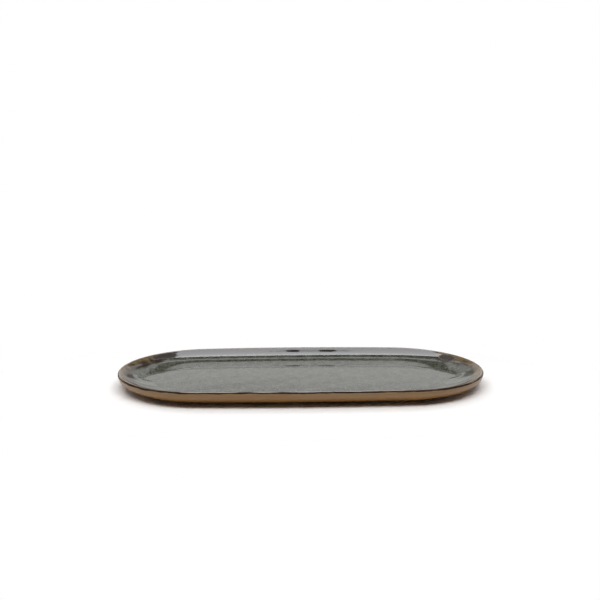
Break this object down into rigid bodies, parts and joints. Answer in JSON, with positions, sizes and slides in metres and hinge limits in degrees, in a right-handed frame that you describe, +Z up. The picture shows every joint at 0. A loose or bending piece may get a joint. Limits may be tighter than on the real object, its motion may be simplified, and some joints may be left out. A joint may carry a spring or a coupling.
{
  "type": "oval tapas plate",
  "caption": "Long oval stoneware plate with a low coved wall, a rounded lip and a foot ring, glazed dark grey-green inside and tan outside, for serving small dishes.",
  "frame": {"origin": "centre of the plane that the foot ring stands on", "axes": "+X along the plate's length, +Y across it, +Z up out of the well"},
  "size_m": [0.33, 0.16, 0.015],
  "materials": {
    "clay": "bare fired stoneware, matt and slightly sandy",
    "well_glaze": "glossy dark grey-green reactive glaze, finely mottled",
    "rim_glaze": "glossy brown glaze, breaking lighter over the lip",
    "iron_line": "dark iron-brown line, satin",
    "tan_glaze": "satin tan glaze with a fine grain"
  },
  "bodies": {
    "root": {"stoneware_body": "clay", "well_glaze": "well_glaze", "rim_glaze": "rim_glaze", "lip_line": "iron_line", "outer_glaze": "tan_glaze", "base_glaze": "tan_glaze"}
  },
  "joints": []
}
